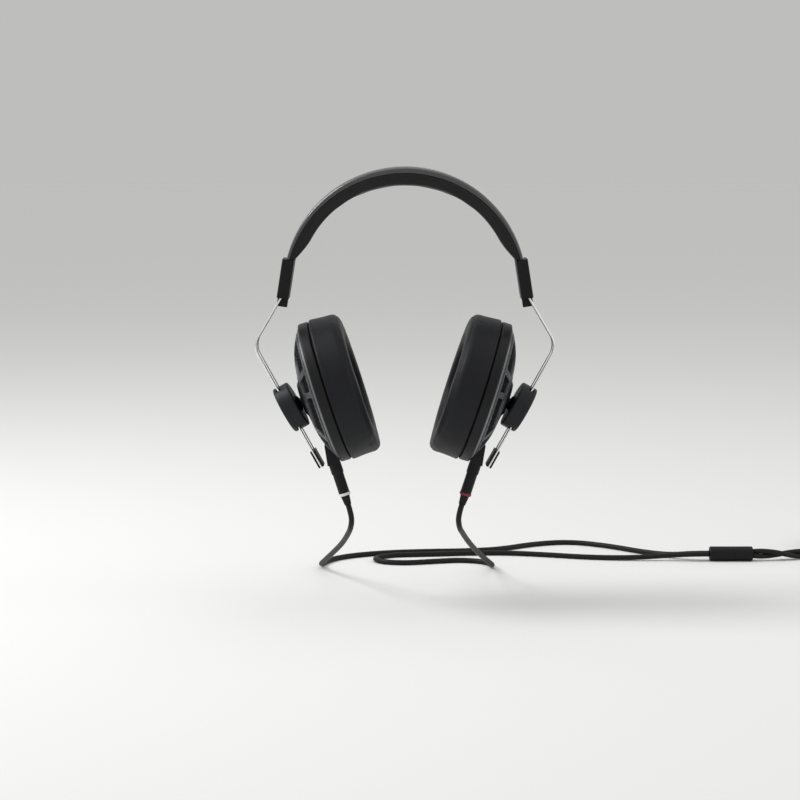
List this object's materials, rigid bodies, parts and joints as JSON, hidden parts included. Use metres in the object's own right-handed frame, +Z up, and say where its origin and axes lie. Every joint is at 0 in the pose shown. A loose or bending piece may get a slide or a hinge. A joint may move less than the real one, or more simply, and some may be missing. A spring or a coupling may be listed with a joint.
{
  "type": "over-ear headphones",
  "caption": "Over-ear open-back headphones with a sprung leather headband, bent wire hangers, sliding ball-jointed cups and a two-leg cable with a coiled end and jack plug.",
  "frame": {"origin": "underside of the headband pad at the crown, where a head or a stand holds it", "axes": "+X to the wearer's right, +Y to the wearer's front, +Z up"},
  "size_m": [0.5513, 0.3348, 0.3109],
  "materials": {
    "spring_steel": "sprung strip, satin",
    "band_leather": "smooth black leather, rounded edges",
    "pad_leather": "soft black leather over foam",
    "fastener": "black oxide",
    "splitter": "satin black",
    "cable_jacket": "matt black jacket",
    "plug_metal": "satin black barrel",
    "end_block": "matt black",
    "lug": "matt black",
    "rod_steel": "polished stainless",
    "end_stop": "satin black",
    "slider": "satin charcoal",
    "bush": "low friction plastic",
    "pivot_steel": "turned steel",
    "socket": "satin charcoal",
    "cage": "gunmetal, satin",
    "grille": "fine black mesh",
    "magnet": "black coated steel",
    "diaphragm": "thin film with traces",
    "baffle": "bright turned edge",
    "housing": "satin black",
    "pad_ring": "matt black",
    "ear_leather": "soft black leather over foam",
    "jack_housing": "satin black",
    "contact": "nickel plated",
    "plug_barrel": "satin black",
    "relief": "matt black"
  },
  "bodies": {
    "headband": {"headband_spring": "spring_steel", "headband_cover": "band_leather", "headband_pad": "pad_leather", "end_block_screws": "fastener", "cable_splitter": "splitter", "main_cable": "cable_jacket", "cable_coil": "cable_jacket", "source_plug": "plug_metal", "left_end_block": "end_block", "left_rod_holder": "lug", "left_hanger_rods": "rod_steel", "left_end_stop": "end_stop", "left_lead": "cable_jacket", "right_end_block": "end_block", "right_rod_holder": "lug", "right_hanger_rods": "rod_steel", "right_end_stop": "end_stop", "right_lead": "cable_jacket"},
    "left_slider": {"left_slider_body": "slider", "left_slider_cap": "slider", "left_slider_bushes": "bush", "left_pivot_stud": "pivot_steel"},
    "left_pivot": {"left_pivot_liner": "bush"},
    "left_cup": {"left_socket_ring": "socket", "left_cage": "cage", "left_grille": "grille", "left_outer_magnet_plate": "magnet", "left_diaphragm": "diaphragm", "left_inner_magnet_plate": "magnet", "left_baffle": "baffle", "left_housing_ring": "housing", "left_cup_screws": "fastener", "left_pad_ring": "pad_ring", "left_ear_pad": "ear_leather", "left_jack_housing": "jack_housing", "left_jack_socket": "contact", "left_plug_pin": "contact", "left_plug_barrel": "plug_barrel", "left_strain_relief": "relief"},
    "right_slider": {"right_slider_body": "slider", "right_slider_cap": "slider", "right_slider_bushes": "bush", "right_pivot_stud": "pivot_steel"},
    "right_pivot": {"right_pivot_liner": "bush"},
    "right_cup": {"right_socket_ring": "socket", "right_cage": "cage", "right_grille": "grille", "right_outer_magnet_plate": "magnet", "right_diaphragm": "diaphragm", "right_inner_magnet_plate": "magnet", "right_baffle": "baffle", "right_housing_ring": "housing", "right_cup_screws": "fastener", "right_pad_ring": "pad_ring", "right_ear_pad": "ear_leather", "right_jack_housing": "jack_housing", "right_jack_socket": "contact", "right_plug_pin": "contact", "right_plug_barrel": "plug_barrel", "right_strain_relief": "relief"}
  },
  "joints": [
    {"name": "left_slide", "type": "slide", "parent": "headband", "child": "left_slider", "axis": [-0.4848, 0, 0.8746], "range_m": [-0.017, 0.009], "deforming": ["left_lead"]},
    {"name": "left_swivel", "type": "hinge", "parent": "left_slider", "child": "left_pivot", "pos_m": [-0.06646, 0, -0.14926], "axis": [-0.3057, 0, 0.9521], "range_deg": [-10, 10]},
    {"name": "left_tilt", "type": "hinge", "parent": "left_pivot", "child": "left_cup", "pos_m": [-0.06646, 0, -0.14926], "axis": [0, -1, 0], "range_deg": [0, 15]},
    {"name": "right_slide", "type": "slide", "parent": "headband", "child": "right_slider", "axis": [0.4848, 0, 0.8746], "range_m": [-0.017, 0.009], "deforming": ["right_lead"]},
    {"name": "right_swivel", "type": "hinge", "parent": "right_slider", "child": "right_pivot", "pos_m": [0.06646, 0, -0.14926], "axis": [0.3057, 0, 0.9521], "range_deg": [-10, 10]},
    {"name": "right_tilt", "type": "hinge", "parent": "right_pivot", "child": "right_cup", "pos_m": [0.06646, 0, -0.14926], "axis": [0, 1, 0], "range_deg": [0, 15]}
  ]
}
